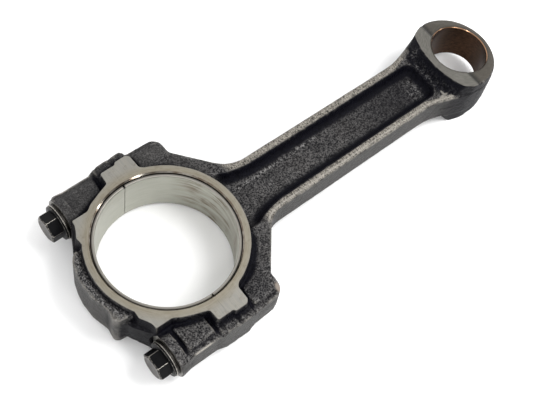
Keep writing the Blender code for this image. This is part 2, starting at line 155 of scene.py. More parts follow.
# ------------------------------------------------------------------ distance fields
def outline_distance(points, x, y):
    """Distance in the plane to a closed outline, negative inside."""
    d = np.full(np.broadcast(x, y).shape, 1e9, np.float32)
    inside = np.zeros(d.shape, bool)
    for (ax, ay), (bx, by) in zip([points[-1], *points[:-1]], points):
        ex, ey = bx - ax, by - ay
        length = ex * ex + ey * ey
        if length < 1e-12:
            continue
        wx, wy = x - ax, y - ay
        t = np.clip((wx * ex + wy * ey) / length, 0, 1)
        d = np.minimum(d, (wx - ex * t) ** 2 + (wy - ey * t) ** 2)
        if ey:
            inside ^= ((y >= ay) != (y >= by)) & (x < ax + wy * (ex / ey))
    return np.where(inside, -1, 1) * np.sqrt(d)


def smooth_min(a, b, k):
    h = np.maximum(k - np.abs(a - b), 0) / k
    return np.minimum(a, b) - h * h * k * 0.25


def smooth_max(a, b, k):
    return -smooth_min(-a, -b, k)


def prism(side, z, half, r):
    """A prism from its side distance and half height, with its edges rounded to r."""
    a, b = side + r, z - (half - r)
    return np.minimum(np.maximum(a, b), 0) + np.hypot(np.maximum(a, 0), np.maximum(b, 0)) - r


def taper_height(x):
    """Half width of the small end along X: flat, a short hollow, and then a straight taper to the tip."""
    u = np.clip((np.asarray(x, float) - TAPER_X) / 2.0, 0, 1)
    hollow = 2.0 * (TAPER_TAN * u + 0.62 * (1 - (1 - u) ** 3) / 3)
    return HALF - hollow - TAPER_TAN * np.maximum(np.asarray(x, float) - TAPER_X - 2.0, 0)


nx, ny, nz = (int(math.ceil(v / STEP)) + 2 for v in (246.5, 51.5, 15.4))
gx = (-44.6 + STEP * np.arange(nx, dtype=np.float32))[:, None, None]
gy = (STEP * (np.arange(ny, dtype=np.float32) + 0.5))[None, :, None]
gz = (STEP * (np.arange(nz, dtype=np.float32) + 0.5))[None, None, :]
radius = np.hypot(gx, gy)
plan = {side: outline_distance(o, gx, gy) for side, o in PLAN.items()}
pocket_plan, ring_plan = outline_distance(POCKET, gx, gy), outline_distance(THRUST, gx, gy)


BIG = int(np.searchsorted(gx[:, 0, 0], 40.0))
EYE = int(np.searchsorted(gx[:, 0, 0], 148.0))


def make_blank(side, upper):
    """A quarter of the forging's blank, for y and z above 0. Its -Y boss is struck deeper than its +Y one, and the
    underside's slope to the eye is flatter."""
    plate = prism(plan[side], gz, PLATE, 0.55)
    pocket = smooth_max(pocket_plan + (PLATE - gz) * 0.26, POCKET_FLOOR - gz, 4.2)
    body = smooth_max(plate, -pocket, 1.3)
    # rib over the cap's back, parted from the thrust ring by a narrow valley
    x, r, edge_of = gx[:BIG], radius[:BIG], plan[side][:BIG]
    rib = np.maximum(edge_of, (38.9 - r - 0.9 * (RIB_HALF - gz)) * 0.74)
    rib = smooth_max(smooth_max(rib, gy - 19.0, 1.6), x + 30.5, 1.2)
    part = smooth_min(body[:BIG], prism(rib, gz, RIB_HALF, 0.4), 1.2)
    # pads and bosses along each bolt
    crown = (np.maximum(np.abs(gy - BOLT_Y) - 1.0, 0)) ** 2 / 26.0
    plateau = (PLATEAU, 9.45 - crown, 0.45, 1.1) if side < 0 else (PLATEAU_PLAIN, 9.0 - crown, 1.3, 2.2)
    lift = 1.1 if side > 0 else 0.0
    for outline, top, edge, foot in (plateau, (PAD_BASE, 8.75 + lift + 0 * crown, 0.6, 0.9),
                                     (PAD_A, 9.55 + lift + 0 * crown, 0.5, 0.9), (PAD_B, 9.55 + lift + 0 * crown, 0.7, 1.0),
                                     (SHOULDER, 9.3 - crown, 0.6, 1.1)):
        wall = np.maximum(outline_distance(outline, x, gy) + 0.2 * (gz - 8.6), edge_of)
        part = smooth_min(part, prism(wall, gz, top, edge), foot)
    part = np.maximum(part, edge_of)
    seat = np.hypot(gy - BOLT_Y, gz) - 10.1
    seat = smooth_max(seat, np.abs(x + 26.7) - 2.6, 0.5)
    part = smooth_min(part, seat, 1.1)
    shoulder_end = smooth_max(np.hypot(gy - BOLT_Y, gz) - 8.4, np.abs(x - 20.0) - 8.6, 1.5)
    if side < 0:
        shoulder_end = np.maximum(shoulder_end, edge_of)
    part = smooth_min(part, shoulder_end, 1.2)
    # thrust ring with drafted walls and a fillet at its foot
    ring = ring_plan[:BIG] - (HALF - gz) * 0.11
    body[:BIG] = smooth_min(part, prism(ring, gz, HALF + 0.7, 0.3), 1.5)
    # small-end eye with a forged slope towards the beam
    x = gx[EYE:]
    if upper:
        slope = (np.hypot(x - 207.8, gy) - 45.0 - 0.5 * (HALF - gz)) * 0.894
        corner = ((x - 166.8) * -0.464 + (gy - 18.6) * 0.886) - 0.13 * (HALF - gz)
        slope = smooth_max(slope, corner, 0.6)
    else:
        slope = (np.hypot(x - 252.8, gy) - 90.8 - 0.5 * (HALF - gz)) * 0.894
    top = taper_height(x).astype(np.float32) + np.where(x > TAPER_X, 0.1, 0.7)
    eye = smooth_max(smooth_max(plan[side][EYE:], slope, 0.8), gz - top, 1.3)
    body[EYE:] = smooth_min(body[EYE:], eye, 1.2)
    return body


def machine(blank):
    cut = np.maximum(blank, gz - HALF)
    cut = np.maximum(cut, HOUSING_R - radius)
    cut = np.maximum(cut, EYE_BORE_R - np.hypot(gx - CENTRES, gy))
    return np.maximum(cut, gz - taper_height(gx).astype(np.float32))


def blurred(field, r):
    for axis in range(3):
        pad = [(0, 0)] * 3
        pad[axis] = (r + 1, r)
        total = np.cumsum(np.pad(field, pad, mode="edge"), axis=axis, dtype=np.float64)
        n = field.shape[axis]
        first = np.take(total, range(0, n), axis=axis)
        last = np.take(total, range(2 * r + 1, 2 * r + 1 + n), axis=axis)
        field = ((last - first) / (2 * r + 1)).astype(np.float32)
    return field


def sampled(field, p):
    """Trilinear value of a quarter field at points, folded into the quarter. A field may be one for each side of y = 0."""
    if isinstance(field, dict):
        out = np.zeros(len(p))
        for side, here in ((-1, p[:, 1] < 0), (1, p[:, 1] >= 0)):
            out[here] = sampled(field[side], p[here])
        return out
    if field.shape[2] == 1:
        field = np.broadcast_to(field, (*field.shape[:2], 2))
    q = np.stack([(p[:, 0] + 44.6) / STEP, np.abs(p[:, 1]) / STEP - 0.5, np.abs(p[:, 2]) / STEP - 0.5], 1)
    q = np.clip(q, 0, np.array(field.shape) - 1.001)
    i = q.astype(int)
    f = q - i
    out = np.zeros(len(p))
    for dx in (0, 1):
        for dy in (0, 1):
            for dz in (0, 1):
                w = (np.where(dx, f[:, 0], 1 - f[:, 0]) * np.where(dy, f[:, 1], 1 - f[:, 1])
                     * np.where(dz, f[:, 2], 1 - f[:, 2]))
                out += w * field[i[:, 0] + dx, i[:, 1] + dy, i[:, 2] + dz]
    return out


def folded(field, r):
    """A quarter field less its own blur over r millimetres: above 0 on convex edges, below 0 in hollows."""
    n = max(1, round(r / STEP))
    f = np.concatenate([field[:, n::-1], field], axis=1)
    f = np.concatenate([f[:, :, n::-1], f], axis=2)
    return (blurred(f, n) )[:, n + 1:, n + 1:] - field


upper_blank = {side: make_blank(side, True) for side in (-1, 1)}
edge_field, hollow_field = {}, {}
for side, quarter in upper_blank.items():
    machined = machine(quarter)
    edge_field[side] = folded(np.clip(machined, -6, 6), 1.2)
    hollow_field[side] = folded(np.clip(machined, -8, 8), 3.6)


def value_noise(p, size, seed):
    """Smooth noise from -1 to 1 at points, with features of about size."""
    rng = np.random.default_rng(seed)
    table = rng.uniform(-1, 1, 4096)
    mix = rng.integers(1, 4096, 3) | 1
    q = p / size
    i = np.floor(q).astype(np.int64)
    f = q - i
    f = f * f * (3 - 2 * f)
    out = np.zeros(len(p))
    for dx in (0, 1):
        for dy in (0, 1):
            for dz in (0, 1):
                key = (i[:, 0] + dx) * 73856093 ^ (i[:, 1] + dy) * 19349663 ^ (i[:, 2] + dz) * 83492791
                key = (key ^ (key >> 13)) * int(mix[0])
                key = (key ^ (key >> 7)) & 4095
                w = (np.where(dx, f[:, 0], 1 - f[:, 0]) * np.where(dy, f[:, 1], 1 - f[:, 1])
                     * np.where(dz, f[:, 2], 1 - f[:, 2]))
                out += w * table[key]
    return out


def ramp(v, a, b):
    t = np.clip((v - a) / (b - a), 0, 1)
    return t * t * (3 - 2 * t)


# ------------------------------------------------------------------ meshes
def add_object(name, verts, faces, smooth=True):
    """A mesh object placed at the crank axis, from points in millimetres."""
    me = bpy.data.meshes.new(name)
    me.from_pydata((np.asarray(verts, float) * MM).tolist(), [], [list(map(int, f)) for f in faces])
    me.validate()
    ob = bpy.data.objects.new(name, me)
    bpy.context.scene.collection.objects.link(ob)
    ob.location = CRANK
    if smooth:
        me.shade_smooth()
    return ob


def closed(ob):
    """Makes a small mesh's faces all point out."""
    bm = bmesh.new()
    bm.from_mesh(ob.data)
    bmesh.ops.recalc_face_normals(bm, faces=bm.faces)
    bm.to_mesh(ob.data)
    bm.free()
    return ob


def lathe(name, rings, cyclic_rings=False, sweep_closed=True):
    """Faces through rings of points, each of the same count. Ends are filled unless the rings close on themselves."""
    rings = [np.asarray(r, float) for r in rings]
    n = len(rings[0])
    verts = np.concatenate(rings)
    faces = []
    pairs = list(zip(range(len(rings) - 1), range(1, len(rings))))
    if cyclic_rings:
        pairs.append((len(rings) - 1, 0))
    for a, b in pairs:
        for k in range(n if sweep_closed else n - 1):
            k2 = (k + 1) % n
            faces.append((a * n + k, a * n + k2, b * n + k2, b * n + k))
    if not cyclic_rings:
        faces.append([*range(n)][::-1])
        faces.append([*range((len(rings) - 1) * n, len(rings) * n)])
    return closed(add_object(name, verts, faces))


def circle(axis, r, at, centre, n, phase=0.0):
    """A ring of n points about an axis through centre."""
    a = np.linspace(0, math.tau, n, endpoint=False) + phase
    r = np.broadcast_to(np.asarray(r, float), a.shape)
    c, s = r * np.cos(a), r * np.sin(a)
    if axis == "X":
        return np.stack([np.full(n, at) + centre[0], c + centre[1], s + centre[2]], 1)
    return np.stack([c + centre[0], s + centre[1], np.full(n, at) + centre[2]], 1)


def turned_piece(name, axis, profile, centre, n):
    """A turned solid: profile of (radius, position along the axis)."""
    return lathe(name, [circle(axis, r, at, centre, n) for r, at in profile])


def box_piece(name, lo, hi):
    bm = bmesh.new()
    bmesh.ops.create_cube(bm, size=1.0)
    for v in bm.verts:
        v.co = [(a + b) / 2 + c * (b - a) for a, b, c in zip(lo, hi, v.co)]
    verts = [v.co[:] for v in bm.verts]
    faces = [[v.index for v in f.verts] for f in bm.faces]
    bm.free()
    return closed(add_object(name, verts, faces, smooth=False))


def prism_piece(name, outline, y0, y1):
    """A closed prism along Y from an outline of (x, z)."""
    return closed(lathe(name, [[(x, y, z) for x, z in outline] for y in (y0, y1)]))


def baked(ob):
    """The object's mesh with its modifiers applied."""
    deps = bpy.context.evaluated_depsgraph_get()
    me = bpy.data.meshes.new_from_object(ob.evaluated_get(deps))
    ob.modifiers.clear()
    old = ob.data
    ob.data = me
    bpy.data.meshes.remove(old)
    return ob


def boolean(ob, others, how):
    """Applies one Boolean after another and removes the other objects."""
    for other in others:
        m = ob.modifiers.new("b", "BOOLEAN")
        m.operation = how
        m.object = other
        m.solver = "MANIFOLD"
    baked(ob)
    for other in others:
        bpy.data.objects.remove(other, do_unlink=True)
    return ob


# the blank's surface, with the slight unevenness of a hammered surface
lower_blank = {side: make_blank(side, False) for side in (-1, 1)}
levels = [np.concatenate([q[-1][:, ::-1], q[1]], axis=1) for q in (lower_blank, upper_blank)]
field = np.ascontiguousarray(np.concatenate([levels[0][:, :, ::-1], levels[1]], axis=2), np.float32)
grid = vdb.FloatGrid(4.0)
grid.copyFromArray(np.clip(field, -4, 4))
points, triangles, quads = grid.convertToPolygons(isovalue=0.0, adaptivity=0.0)
points = np.asarray(points, float) * STEP + np.array([-44.6, -(ny - 0.5) * STEP, -(nz - 0.5) * STEP])
quads = np.asarray(quads, int)
a, b, c, d = (points[quads[:, k]] for k in range(4))
volume = (np.einsum("ij,ij->i", a, np.cross(b, c)) + np.einsum("ij,ij->i", a, np.cross(c, d))).sum()
if volume < 0:
    quads = quads[:, ::-1]
    b, d = d, b
normals = np.zeros_like(points)
face_normals = np.cross(c - a, d - b)
for k in range(4):
    np.add.at(normals, quads[:, k], face_normals)
normals /= np.maximum(np.linalg.norm(normals, axis=1, keepdims=True), 1e-9)
rough = (0.055 * value_noise(points, 2.6, 1) + 0.03 * value_noise(points, 1.1, 2) + 0.05 * value_noise(points, 7.0, 3))
side_wall = ramp(-np.abs(normals[:, 2]), -0.6, -0.2) * ramp(sampled(plan, points), -2.0, -1.0)
points += normals * (rough * (1 - 0.9 * side_wall))[:, None]
blank_object = add_object("forging", points, quads)

# machining: bores, bolt holes, spot faces, tapers, dowel holes and tang notches
cutters = []
for s in (1, -1):
    xs = np.concatenate([np.linspace(TAPER_X, TAPER_X + 2.0, 9), [215.0]])
    outline = [(x, s * float(taper_height(x))) for x in xs] + [(215.0, s * 20.0), (TAPER_X, s * 20.0)]
    cutters.append(prism_piece("cut_taper", outline, -30.0, 30.0))
    cutters.append(box_piece("cut_face", (-60, -60, min(s * HALF, s * 20)), (220, 60, max(s * HALF, s * 20))))
cutters.append(turned_piece("cut_housing", "Z", [(HOUSING_R + 1.6, -HALF - 1), (HOUSING_R, -HALF + 0.6), (HOUSING_R, HALF - 0.6),
                                                 (HOUSING_R + 1.6, HALF + 1)], (0, 0, 0), 288))
cutters.append(turned_piece("cut_eye", "Z", [(EYE_BORE_R, -20), (EYE_BORE_R, 20)], (CENTRES, 0, 0), 180))
for s in (1, -1):
    cutters.append(turned_piece("cut_hole", "X", [(HOLE_R, -50), (HOLE_R, 45)], (0, s * BOLT_Y, 0), 64))
    cutters.append(turned_piece("cut_seat", "X", [(11.0, -50), (11.0, SEAT_X)], (0, s * BOLT_Y, 0), 96))
    cutters.append(turned_piece("cut_dowel", "X", [(DOWEL_R + 0.05, -DOWEL_L / 2 - 0.3), (DOWEL_R + 0.05, DOWEL_L / 2 + 0.3)],
                                (0, s * DOWEL_Y, s * DOWEL_Z), 32))
cutters.append(box_piece("cut_tang_rod", (0.0, 31.0, -10.8), (5.0, 34.9, -5.2)))
cutters.append(box_piece("cut_tang_cap", (-5.0, 31.0, 5.2), (0.0, 34.9, 10.8)))
forging = boolean(blank_object, cutters, "DIFFERENCE")

halves = {}
for name, x0, x1 in (("rod_forging", SPLIT, 230.0), ("cap_forging", -80.0, -SPLIT)):
    part = bpy.data.objects.new(name, forging.data.copy())
    bpy.context.scene.collection.objects.link(part)
    part.location = CRANK
    halves[name] = boolean(part, [box_piece("cut_half", (x0, -70, -30), (x1, 70, 30))], "INTERSECT")
bpy.data.objects.remove(forging, do_unlink=True)


# ------------------------------------------------------------------ materials
class Paint:
    """One material's node graph. Mixed colours are scaled by level, which sets the part against the white paper."""

    def __init__(self, name, level=0.67, **values):
        self.level = level
        self.m = bpy.data.materials.new(name)
        self.m.use_nodes = True
        self.tree = self.m.node_tree
        self.bsdf = self.tree.nodes["Principled BSDF"]
        self.coords = self.tree.nodes.new("ShaderNodeTexCoord").outputs["Object"]
        for key, value in values.items():
            self.bsdf.inputs[key.replace("_", " ")].default_value = value

    def plug(self, value, socket):
        if isinstance(value, bpy.types.NodeSocket):
            self.tree.links.new(value, socket)
        elif value is not None:
            socket.default_value = value

    def attribute(self, name):
        n = self.tree.nodes.new("ShaderNodeAttribute")
        n.attribute_name = name
        return n.outputs["Fac"]

    def math(self, op, a, b=None, c=None, clamp=False):
        n = self.tree.nodes.new("ShaderNodeMath")
        n.operation = op
        n.use_clamp = clamp
        for value, socket in zip((a, b, c), n.inputs):
            self.plug(value, socket)
        return n.outputs[0]

    def mix(self, fac, a, b, blend="MIX"):
        n = self.tree.nodes.new("ShaderNodeMix")
        n.data_type = "RGBA"
        n.blend_type = blend
        n.clamp_factor = True
        self.plug(fac, n.inputs[0])
        for value, socket in ((a, n.inputs[6]), (b, n.inputs[7])):
            self.plug(value if isinstance(value, bpy.types.NodeSocket) else (*(v * self.level for v in value), 1), socket)
        return n.outputs[2]

    def ramp(self, fac, stops):
        n = self.tree.nodes.new("ShaderNodeValToRGB")
        e = n.color_ramp.elements
        while len(e) < len(stops):
            e.new(0.5)
        for item, (at, value) in zip(e, stops):
            item.position = at
            item.color = (value, value, value, 1) if isinstance(value, (int, float)) else (*value, 1)
        self.plug(fac, n.inputs[0])
        return n.outputs[0]

    def noise(self, size, detail=2.0, rough=0.5, vector=None, stretch=None, distortion=0.0):
        """Noise with features of about size millimetres."""
        v = vector if vector is not None else self.coords
        if stretch:
            s = self.tree.nodes.new("ShaderNodeVectorMath")
            s.operation = "MULTIPLY"
            self.plug(v, s.inputs[0])
            s.inputs[1].default_value = stretch
            v = s.outputs[0]
        n = self.tree.nodes.new("ShaderNodeTexNoise")
        self.plug(v, n.inputs["Vector"])
        n.inputs["Scale"].default_value = 1000.0 / size
        n.inputs["Detail"].default_value = detail
        n.inputs["Roughness"].default_value = rough
        n.inputs["Distortion"].default_value = distortion
        return n.outputs["Fac"]

    def polar(self, cx, scale_r, scale_a, scale_z):
        """A vector of radius, turn and height about an upright axis at x = cx, in metres, each scaled."""
        sep = self.tree.nodes.new("ShaderNodeSeparateXYZ")
        self.plug(self.coords, sep.inputs[0])
        x = self.math("SUBTRACT", sep.outputs[0], cx)
        y = sep.outputs[1]
        r = self.math("SQRT", self.math("ADD", self.math("MULTIPLY", x, x), self.math("MULTIPLY", y, y)))
        a = self.math("ARCTAN2", y, x)
        com = self.tree.nodes.new("ShaderNodeCombineXYZ")
        self.plug(self.math("MULTIPLY", r, scale_r), com.inputs[0])
        self.plug(self.math("MULTIPLY", a, scale_a), com.inputs[1])
        self.plug(self.math("MULTIPLY", sep.outputs[2], scale_z), com.inputs[2])
        return com.outputs[0], r, sep

    def bump(self, height, distance, strength=1.0):
        n = self.tree.nodes.new("ShaderNodeBump")
        n.inputs["Distance"].default_value = distance
        n.inputs["Strength"].default_value = strength
        self.plug(height, n.inputs["Height"])
        self.tree.links.new(n.outputs[0], self.bsdf.inputs["Normal"])

    def done(self, color=None, rough=None, metal=None):
        self.plug(color, self.bsdf.inputs["Base Color"])
        self.plug(rough, self.bsdf.inputs["Roughness"])
        self.plug(metal, self.bsdf.inputs["Metallic"])
        return self.m


def forged_material():
    p = Paint("forged_steel", Specular_IOR_Level=0.06)
    strip, trim, wear_and_highlight, hollow, rust, fleck_and_glint = (p.attribute(k) for k in ("strip", "trim", "wear_and_highlight", "hollow", "rust", "fleck_and_glint"))
    fine, grain, cloud = p.noise(0.7, 3.0, 0.65), p.noise(2.4, 3.0, 0.6), p.noise(9.0, 3.0, 0.55)
    speck = p.ramp(p.math("ADD", p.math("MULTIPLY", fine, 0.86), p.math("MULTIPLY", grain, 0.14)), [(0.42, 0.0), (0.62, 1.0)])
    scale = p.mix(speck, (0.005, 0.005, 0.0075), (0.184, 0.178, 0.175))
    patchy = p.ramp(p.noise(4.5, 3.0, 0.6), [(0.34, 0.60), (0.62, 1.0)])
    scale = p.mix(1.0, scale, patchy, "MULTIPLY")
    scale = p.mix(p.math("MULTIPLY", p.ramp(cloud, [(0.4, 0.0), (0.7, 1.0)]), 0.15), scale, (0.07, 0.06, 0.05))
    smooth = p.mix(p.math("ADD", p.math("MULTIPLY", grain, 0.5), p.math("MULTIPLY", fine, 0.5)), (0.030, 0.0292, 0.0286),
                   (0.116, 0.112, 0.108))
    color = p.mix(trim, scale, smooth)
    # hollows: partly oil and grime, partly painted shade on creases and on walls turned from the light
    shade_and_grime = p.mix(speck, (0.0012, 0.0012, 0.0028), (0.006, 0.006, 0.0112))
    color = p.mix(hollow, color, shade_and_grime)
    # painted glints: light specks and patches where the surface catches the light, over some real rubbed spots
    glint_specks = p.ramp(p.math("ADD", p.math("MULTIPLY", fine, 0.55), p.math("MULTIPLY", p.noise(1.7, 3.0, 0.7), 0.45)),
                     [(0.50, 0.0), (0.62, 1.0)])
    color = p.mix(p.math("MULTIPLY", fleck_and_glint, glint_specks), color, (0.42, 0.41, 0.40))
    dash = p.noise(0.48, 2.0, 0.6, stretch=(1.0, 0.55, 1.0))
    bare = p.mix(p.ramp(p.math("ADD", p.math("MULTIPLY", dash, 0.8), p.math("MULTIPLY", grain, 0.2)), [(0.38, 0.0), (0.60, 1.0)]),
                 (0.028, 0.026, 0.023), (0.41, 0.380, 0.333))
    color = p.mix(strip, color, bare)
    # worn edges rubbed bare, and painted highlights along edges, rims and the flanges' crest
    color = p.mix(p.math("MULTIPLY", wear_and_highlight, p.ramp(dash, [(0.3, 0.55), (0.6, 1.0)])), color, (0.50, 0.47, 0.42))
    color = p.mix(rust, color, (0.34, 0.29, 0.25))
    shine = p.math("MAXIMUM", p.math("MAXIMUM", strip, wear_and_highlight), p.math("MULTIPLY", trim, 0.35))
    rough = p.math("SUBTRACT", p.math("MULTIPLY_ADD", fine, 0.3, 0.33), p.math("MULTIPLY", shine, 0.03))
    p.bump(p.math("ADD", p.math("MULTIPLY", fine, 0.7), grain), 0.0006, 1.0)
    return p.done(color, rough, p.math("MULTIPLY", shine, 0.5))


def machined_material():
    """Ground thrust faces: a tan, oil-stained band on the ring and cooler grey tabs."""
    p = Paint("machined_steel", Metallic=1.0)
    polar, r, sep = p.polar(0.0, 1.0, 0.0035, 1.0)
    rings = p.noise(0.5, 2.0, 0.6, vector=polar)
    lines = p.noise(0.45, 2.0, 0.6, stretch=(1.0, 0.06, 1.0))
    cloud, fine = p.noise(7.0, 3.0, 0.6), p.noise(0.8, 2.0, 0.6)
    band = p.ramp(p.math("MULTIPLY_ADD", p.math("SUBTRACT", cloud, 0.5), 0.0014, r), [(0.0366, 1.0), (0.0377, 0.0)])
    ring = p.mix(cloud, (0.27, 0.235, 0.17), (0.42, 0.38, 0.295))
    tabs = p.mix(cloud, (0.35, 0.342, 0.312), (0.42, 0.41, 0.38))
    color = p.mix(band, tabs, ring)
    mark = p.mix(band, lines, rings)
    color = p.mix(p.math("MULTIPLY", p.ramp(mark, [(0.35, 0.0), (0.65, 1.0)]), 0.5), color, (0.50, 0.47, 0.40))
    stain = p.ramp(p.noise(2.6, 4.0, 0.7), [(0.56, 0.0), (0.74, 1.0)])
    color = p.mix(p.math("MULTIPLY", stain, 0.45), color, (0.2, 0.155, 0.11))
    rough = p.math("MULTIPLY_ADD", fine, 0.16, 0.30)
    p.bump(mark, 0.00002, 0.5)
    return p.done(color, rough)


def eye_material():
    """Small-end faces: grey with arcs struck about the wrist-pin bore; the hollow and the taper beyond the flat are
    darkened as painted shade and given a warmer tint.
    """
    p = Paint("ground_steel", Metallic=1.0)
    polar, r, sep = p.polar(CENTRES * MM, 1.0, 0.003, 1.0)
    arcs, cloud, fine = p.noise(0.42, 2.0, 0.6, vector=polar), p.noise(6.0, 3.0, 0.6), p.noise(0.7, 2.0, 0.6)
    color = p.mix(cloud, (0.135, 0.130, 0.117), (0.215, 0.206, 0.186))
    color = p.mix(p.math("MULTIPLY", p.ramp(arcs, [(0.35, 0.0), (0.65, 1.0)]), 0.5), color, (0.30, 0.29, 0.26))
    # painted shade: the hollow and the taper darker than the flat, as they face away from the light
    along = p.math("MULTIPLY", sep.outputs[0], 1000.0 / 250.0)
    at = [x / 250.0 for x in (TAPER_X - 0.05, TAPER_X + 0.05, TAPER_X + 2.0, TAPER_X + 3.8)]
    tone = p.ramp(along, [(at[0], 1.0), (at[1], 0.24), (at[2], 0.31), (at[3], 0.52)])
    color = p.mix(1.0, color, tone, "MULTIPLY")
    color = p.mix(p.math("MULTIPLY", p.ramp(along, [(at[2], 0.0), (at[3], 1.0)]), 0.22), color, (0.17, 0.135, 0.10))
    rough = p.math("MULTIPLY_ADD", fine, 0.14, 0.34)
    p.bump(arcs, 0.00003, 0.6)
    return p.done(color, rough)


def joint_material():
    """Parting faces, holes and spot faces: bored and ground steel, oily."""
    p = Paint("bored_steel", Metallic=1.0)
    lines, cloud = p.noise(0.4, 2.0, 0.6, stretch=(1.0, 1.0, 0.08)), p.noise(5.0, 3.0, 0.6)
    color = p.mix(cloud, (0.2, 0.19, 0.17), (0.36, 0.35, 0.32))
    color = p.mix(p.math("MULTIPLY", lines, 0.3), color, (0.45, 0.43, 0.4))
    p.bump(lines, 0.00003, 0.5)
    return p.done(color, p.math("MULTIPLY_ADD", lines, 0.15, 0.33))


def shell_material():
    """Bearing shells: dull overlay inside with faint running bands and brown oil film, steel edges."""
    p = Paint("bearing_overlay", Metallic=1.0)
    film, edge = p.attribute("film"), p.attribute("edge")
    polar, r, sep = p.polar(0.0, 1.0, 0.004, 1.0)
    bands, cloud = p.noise(1.1, 3.0, 0.6, vector=polar), p.noise(8.0, 3.0, 0.6, stretch=(1.0, 1.0, 3.0))
    color = p.mix(cloud, (0.56, 0.565, 0.49), (0.66, 0.66, 0.59))
    color = p.mix(p.math("MULTIPLY", p.ramp(bands, [(0.4, 0.0), (0.7, 1.0)]), 0.25), color, (0.46, 0.45, 0.38))
    streak = p.ramp(p.noise(2.0, 3.0, 0.65, vector=polar), [(0.38, 0.0), (0.58, 1.0)])
    color = p.mix(p.math("MULTIPLY", film, streak), color, (0.24, 0.19, 0.13))
    color = p.mix(edge, color, (0.42, 0.40, 0.36))
    color = p.mix(p.attribute("oil"), color, (0.03, 0.022, 0.017))
    rough = p.math("MULTIPLY_ADD", bands, 0.16, 0.36)
    p.bump(bands, 0.00002, 0.4)
    return p.done(color, rough)


def bush_material():
    """Small-end bush: thin bronze lining browned by oil, with a bright chamfer, on a steel back."""
    p = Paint("bronze", Metallic=1.0)
    chamfer, back = p.attribute("edge"), p.attribute("back")
    polar, r, sep = p.polar(CENTRES * MM, 1.0, 0.006, 1.0)
    streaks, cloud = p.noise(0.9, 3.0, 0.65, vector=polar), p.noise(5.0, 3.0, 0.6)
    color = p.mix(p.ramp(streaks, [(0.35, 0.0), (0.7, 1.0)]), (0.055, 0.026, 0.014), (0.15, 0.075, 0.038))
    color = p.mix(p.math("MULTIPLY", cloud, 0.5), color, (0.075, 0.05, 0.035))
    color = p.mix(chamfer, color, (0.72, 0.42, 0.25))
    color = p.mix(back, color, (0.10, 0.092, 0.08))
    rough = p.math("SUBTRACT", p.math("MULTIPLY_ADD", streaks, 0.2, 0.26), p.math("MULTIPLY", chamfer, 0.2))
    p.bump(streaks, 0.00002, 0.4)
    return p.done(color, rough)


def bolt_material():
    """Black oxide with bare steel at worn edges, thin edge and rim lines lighter partly as painted highlights, and a
    duller grey end face.
    """
    p = Paint("black_bolt_steel", Specular_IOR_Level=0.06)
    wear_and_highlight, face = p.attribute("wear_and_highlight"), p.attribute("face")
    fine, cloud = p.noise(0.7, 3.0, 0.65), p.noise(3.0, 3.0, 0.6)
    color = p.mix(cloud, (0.0015, 0.0015, 0.002), (0.008, 0.008, 0.009))
    blotch = p.ramp(p.math("ADD", p.math("MULTIPLY", fine, 0.5), p.math("MULTIPLY", cloud, 0.5)), [(0.38, 0.0), (0.60, 1.0)])
    color = p.mix(p.math("MULTIPLY", face, blotch), color, (0.15, 0.135, 0.125))
    # worn edges and rims: partly bare steel, partly painted highlights
    rub_and_highlight = p.ramp(p.math("ADD", wear_and_highlight, p.math("MULTIPLY", p.math("SUBTRACT", fine, 0.5), 0.9)), [(0.42, 0.0), (0.72, 1.0)])
    color = p.mix(rub_and_highlight, color, (0.5, 0.47, 0.42))
    rough = p.math("MULTIPLY_ADD", fine, 0.2, 0.24)
    p.bump(fine, 0.00004, 0.5)
    return p.done(color, rough, p.math("MAXIMUM", p.math("MULTIPLY", rub_and_highlight, 0.9), p.math("MULTIPLY", face, 0.6)))


def washer_material():
    p = Paint("washer_steel", Metallic=1.0)
    wear_and_highlight = p.attribute("wear_and_highlight")
    fine, cloud = p.noise(0.6, 3.0, 0.65), p.noise(2.5, 3.0, 0.6)
    color = p.mix(cloud, (0.015, 0.014, 0.0135), (0.06, 0.055, 0.05))
    # lighter rims: partly worn bare, partly painted highlights
    rub_and_highlight = p.ramp(p.math("ADD", wear_and_highlight, p.math("MULTIPLY", p.math("SUBTRACT", fine, 0.5), 0.9)), [(0.4, 0.0), (0.75, 1.0)])
    color = p.mix(rub_and_highlight, color, (0.55, 0.52, 0.47))
    p.bump(fine, 0.00004, 0.5)
    return p.done(color, p.math("MULTIPLY_ADD", fine, 0.2, 0.28))


def pin_material():
    p = Paint("pin_steel", Metallic=1.0)
    lines, fine = p.noise(0.3, 2.0, 0.6, stretch=(1.0, 0.1, 0.1)), p.noise(0.8, 2.0, 0.6)
    color = p.mix(fine, (0.42, 0.42, 0.42), (0.6, 0.6, 0.6))
    p.bump(lines, 0.00001, 0.4)
    return p.done(color, p.math("MULTIPLY_ADD", fine, 0.12, 0.2))


def oiled_material():
    """The housing's chamfer, bright and oily."""
    p = Paint("oiled_edge", Metallic=1.0)
    fine, cloud = p.noise(0.9, 3.0, 0.6), p.noise(3.0, 2.0, 0.5)
    color = p.mix(p.ramp(cloud, [(0.4, 0.0), (0.65, 1.0)]), (0.15, 0.118, 0.09), (0.34, 0.315, 0.275))
    p.bump(fine, 0.00003, 0.5)
    return p.done(color, p.math("MULTIPLY_ADD", fine, 0.12, 0.08))


FORGED, MACHINED, EYE, JOINT, OILED = (forged_material(), machined_material(), eye_material(), joint_material(),
                                       oiled_material())
SHELL, BUSH, BOLT, WASHER, PIN = shell_material(), bush_material(), bolt_material(), washer_material(), pin_material()


# ------------------------------------------------------------------ finish of the forging
def put(me, name, values):
    a = me.attributes.new(name, "FLOAT", "POINT")
    a.data.foreach_set("value", np.clip(np.asarray(values, float), 0, 1).astype(np.float32))


def points_of(me):
    co = np.zeros(len(me.vertices) * 3, np.float32)
    me.vertices.foreach_get("co", co)
    return co.reshape(-1, 3).astype(float) / MM


